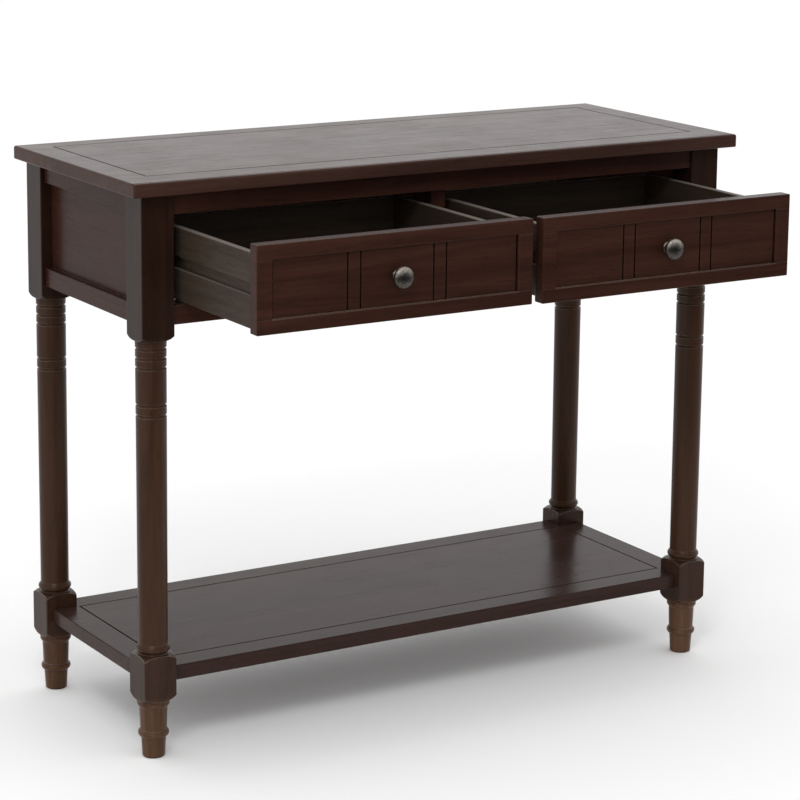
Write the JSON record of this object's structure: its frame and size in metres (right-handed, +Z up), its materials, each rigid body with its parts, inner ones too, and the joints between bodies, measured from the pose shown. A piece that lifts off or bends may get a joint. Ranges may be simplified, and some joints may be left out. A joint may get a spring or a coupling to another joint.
{
  "type": "console table",
  "caption": "Narrow console table with a grooved top, turned legs, a low shelf and side-by-side drawers drawn out on wooden runners.",
  "frame": {"origin": "on the floor, under the middle of the whole box with both drawers drawn out as at rest", "axes": "+X along the table to its right end as seen from the front, -Y out of the front (the drawers open towards -Y), +Z up"},
  "size_m": [0.94, 0.591, 0.765],
  "materials": {
    "stained_wood": "satin dark mahogany-espresso lacquer over fine grain",
    "drawer_box_wood": "thin dark stain, matte",
    "stained_ply": "thin dark stain, matte",
    "runner_wood": "dark stained, waxed on the runners",
    "dowel_wood": "bare fluted beech",
    "knob_metal": "aged dark pewter, worn lighter on the crown",
    "screw_steel": "zinc plated"
  },
  "bodies": {
    "table": {"back_bottom_rail": "stained_wood", "back_cleats": "runner_wood", "back_panel": "stained_ply", "back_top_rail": "stained_wood", "centre_partition": "runner_wood", "centre_stile": "stained_wood", "cleat_screws": "screw_steel", "front_bottom_rail": "stained_wood", "front_left_leg": "stained_wood", "front_right_leg": "stained_wood", "front_top_rail": "stained_wood", "left_bottom_rail": "stained_wood", "left_cleat": "runner_wood", "left_inner_runner": "runner_wood", "left_outer_runner": "runner_wood", "left_panel": "stained_wood", "left_tip_block": "stained_wood", "left_top_rail": "stained_wood", "rail_dowels": "dowel_wood", "rear_left_leg": "stained_wood", "rear_right_leg": "stained_wood", "right_bottom_rail": "stained_wood", "right_cleat": "runner_wood", "right_inner_runner": "runner_wood", "right_outer_runner": "runner_wood", "right_panel": "stained_wood", "right_tip_block": "stained_wood", "right_top_rail": "stained_wood", "runner_screws": "screw_steel", "shelf": "stained_wood", "shelf_dowels": "dowel_wood", "shelf_screws": "screw_steel", "stile_screws": "screw_steel", "tabletop": "stained_wood", "top_screws": "screw_steel"},
    "left_drawer": {"left_drawer_back": "drawer_box_wood", "left_drawer_bottom": "stained_ply", "left_drawer_dowels": "dowel_wood", "left_drawer_front": "stained_wood", "left_drawer_inner_side": "drawer_box_wood", "left_drawer_outer_side": "drawer_box_wood", "left_drawer_screws": "screw_steel", "left_knob": "knob_metal", "left_knob_screw": "screw_steel"},
    "right_drawer": {"right_drawer_back": "drawer_box_wood", "right_drawer_bottom": "stained_ply", "right_drawer_dowels": "dowel_wood", "right_drawer_front": "stained_wood", "right_drawer_inner_side": "drawer_box_wood", "right_drawer_outer_side": "drawer_box_wood", "right_drawer_screws": "screw_steel", "right_knob": "knob_metal", "right_knob_screw": "screw_steel"}
  },
  "joints": [
    {"name": "left_drawer_slide", "type": "slide", "parent": "table", "child": "left_drawer", "axis": [0, -1, 0], "range_m": [-0.2165, 0.0185]},
    {"name": "right_drawer_slide", "type": "slide", "parent": "table", "child": "right_drawer", "axis": [0, -1, 0], "range_m": [-0.2215, 0.0135]}
  ]
}
